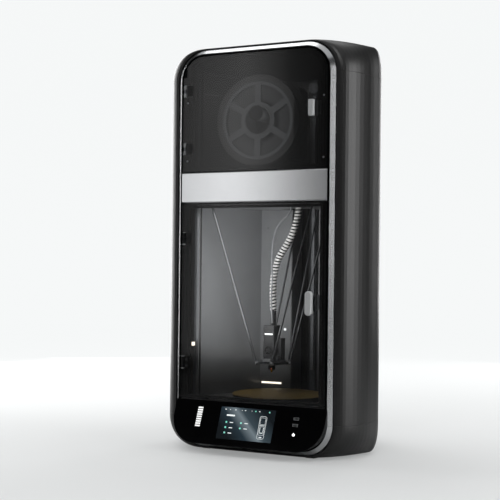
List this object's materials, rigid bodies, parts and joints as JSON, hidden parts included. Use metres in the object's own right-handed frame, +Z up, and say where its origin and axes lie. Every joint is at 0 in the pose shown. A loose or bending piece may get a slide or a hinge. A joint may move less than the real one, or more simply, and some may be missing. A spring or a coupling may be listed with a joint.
{
  "type": "delta 3d printer",
  "caption": "Tall enclosed delta 3D printer with rounded casing, bright bevelled bezel, glazed filament bay over a heated print chamber, and a sloping touch console.",
  "frame": {"origin": "middle of the footprint's bounding box, on the floor", "axes": "+Z up, the front with the doors and console faces -Y, +X to the right seen from the front"},
  "size_m": [0.717, 0.5994, 1.35],
  "materials": {
    "charcoal_paint": "satin",
    "satin_aluminium": "satin, anodised",
    "black_paint": "matte",
    "steel": "satin",
    "black_oxide": "satin",
    "smoked_glass": "gloss",
    "console_black": "gloss",
    "matte_black_plastic": "matte",
    "grey_plastic": "satin",
    "white_plastic": "satin",
    "rubber": "matte",
    "build_surface": "textured",
    "brass": "satin",
    "carbon_rod": "gloss",
    "filament": "gloss",
    "lit_panel": "lit",
    "circuit_board": "satin"
  },
  "bodies": {
    "frame": {"casing_top_cap": "charcoal_paint", "casing_bottom_cap": "charcoal_paint", "casing_rear_panel": "charcoal_paint", "casing_left_side": "charcoal_paint", "casing_right_side": "charcoal_paint", "feet": "rubber", "bezel_arches": "satin_aluminium", "bezel_sides": "satin_aluminium", "bezel_band_ends": "satin_aluminium", "band_cover": "satin_aluminium", "front_frame": "black_paint", "door_gaskets": "rubber", "hinge_brackets": "steel", "console_housing": "matte_black_plastic", "console_glass": "console_black", "console_lights": "lit_panel", "usb_ports": "steel", "chamber_panels": "black_paint", "chamber_lights": "lit_panel", "heated_bed": "black_paint", "build_sheet": "build_surface", "machine_plates": "black_paint", "towers": "satin_aluminium", "rails_and_idler_pins": "steel", "motors": "black_oxide", "belts": "rubber", "umbilical_hose": "white_plastic", "filament_tube": "white_plastic", "spool_axle": "grey_plastic", "dryer_housing": "matte_black_plastic", "extruder": "matte_black_plastic", "base_electronics": "circuit_board", "power_inlet": "matte_black_plastic"},
    "upper_door": {"upper_door_panel": "smoked_glass", "upper_door_fittings": "steel", "upper_door_handle": "satin_aluminium"},
    "lower_door": {"lower_door_glass": "smoked_glass", "lower_door_fittings": "steel", "lower_door_handle": "white_plastic"},
    "start_button": {"power_button": "steel"},
    "head": {"arms": "carbon_rod", "effector_plate": "satin_aluminium", "head_shells": "grey_plastic", "head_ducts": "matte_black_plastic", "hot_end": "satin_aluminium", "nozzle": "brass", "head_light": "lit_panel"},
    "head_fan": {"head_fan_rotor": "matte_black_plastic"},
    "spool_body": {"spool": "white_plastic", "filament_coil": "filament"},
    "feed_gear": {"extruder_gear": "steel"},
    "slide_left": {"carriage_left": "steel"},
    "driver_left": {"drive_pulley_left": "steel"},
    "guide_left": {"idler_pulley_left": "steel"},
    "slide_right": {"carriage_right": "steel"},
    "driver_right": {"drive_pulley_right": "steel"},
    "guide_right": {"idler_pulley_right": "steel"},
    "slide_rear": {"carriage_rear": "steel"},
    "driver_rear": {"drive_pulley_rear": "steel"},
    "guide_rear": {"idler_pulley_rear": "steel"}
  },
  "joints": [
    {"name": "upper_door_hinge", "type": "hinge", "parent": "frame", "child": "upper_door", "pos_m": [-0.2595, -0.2375, 1.111], "axis": [0, 0, -1], "range_deg": [0, 115]},
    {"name": "lower_door_hinge", "type": "hinge", "parent": "frame", "child": "lower_door", "pos_m": [-0.2595, -0.2375, 0.502], "axis": [0, 0, -1], "range_deg": [0, 115]},
    {"name": "button_press", "type": "slide", "parent": "frame", "child": "start_button", "axis": [0, 0.9219, -0.3875], "range_m": [0, 0.0018], "stiffness_N_per_m": 400},
    {"name": "spool_spin", "type": "hinge", "parent": "frame", "child": "spool_body", "pos_m": [0, -0.171, 1.1025], "axis": [0, 1, 0], "continuous": true},
    {"name": "head_lift", "type": "slide", "parent": "frame", "child": "head", "axis": [0, 0, 1], "range_m": [-0.069, 0.26], "deforming": ["umbilical_hose", "filament_tube"]},
    {"name": "head_fan_spin", "type": "hinge", "parent": "head", "child": "head_fan", "pos_m": [-0.028, -0.046, 0.33], "axis": [0, 1, 0], "continuous": true},
    {"name": "feed_gear_spin", "type": "hinge", "parent": "frame", "child": "feed_gear", "pos_m": [0.057, -0.033, 0.856], "axis": [0, 1, 0], "continuous": true},
    {"name": "slide_left_travel", "type": "slide", "parent": "frame", "child": "slide_left", "axis": [0, 0, 1], "range_m": [-0.069, 0.26]},
    {"name": "driver_left_spin", "type": "hinge", "parent": "frame", "child": "driver_left", "pos_m": [-0.23686, -0.15975, 0.095], "axis": [-0.866, -0.5, 0], "continuous": true},
    {"name": "guide_left_spin", "type": "hinge", "parent": "frame", "child": "guide_left", "pos_m": [-0.23686, -0.15975, 1.275], "axis": [-0.866, -0.5, 0], "continuous": true},
    {"name": "slide_right_travel", "type": "slide", "parent": "frame", "child": "slide_right", "axis": [0, 0, 1], "range_m": [-0.069, 0.26]},
    {"name": "driver_right_spin", "type": "hinge", "parent": "frame", "child": "driver_right", "pos_m": [0.23686, -0.15975, 0.095], "axis": [0.866, -0.5, 0], "continuous": true},
    {"name": "guide_right_spin", "type": "hinge", "parent": "frame", "child": "guide_right", "pos_m": [0.23686, -0.15975, 1.275], "axis": [0.866, -0.5, 0], "continuous": true},
    {"name": "slide_rear_travel", "type": "slide", "parent": "frame", "child": "slide_rear", "axis": [0, 0, 1], "range_m": [-0.069, 0.26]},
    {"name": "driver_rear_spin", "type": "hinge", "parent": "frame", "child": "driver_rear", "pos_m": [0, 0.2505, 0.095], "axis": [0, 1, 0], "continuous": true},
    {"name": "guide_rear_spin", "type": "hinge", "parent": "frame", "child": "guide_rear", "pos_m": [0, 0.2505, 1.275], "axis": [0, 1, 0], "continuous": true}
  ],
  "couplings": [
    {"joint": "slide_left_travel", "follows": "head_lift", "ratio": 1},
    {"joint": "driver_left_spin", "follows": "head_lift", "rad_per_m": 56.497},
    {"joint": "guide_left_spin", "follows": "head_lift", "rad_per_m": 56.497},
    {"joint": "slide_right_travel", "follows": "head_lift", "ratio": 1},
    {"joint": "driver_right_spin", "follows": "head_lift", "rad_per_m": 56.497},
    {"joint": "guide_right_spin", "follows": "head_lift", "rad_per_m": 56.497},
    {"joint": "slide_rear_travel", "follows": "head_lift", "ratio": 1},
    {"joint": "driver_rear_spin", "follows": "head_lift", "rad_per_m": 56.497},
    {"joint": "guide_rear_spin", "follows": "head_lift", "rad_per_m": 56.497}
  ]
}
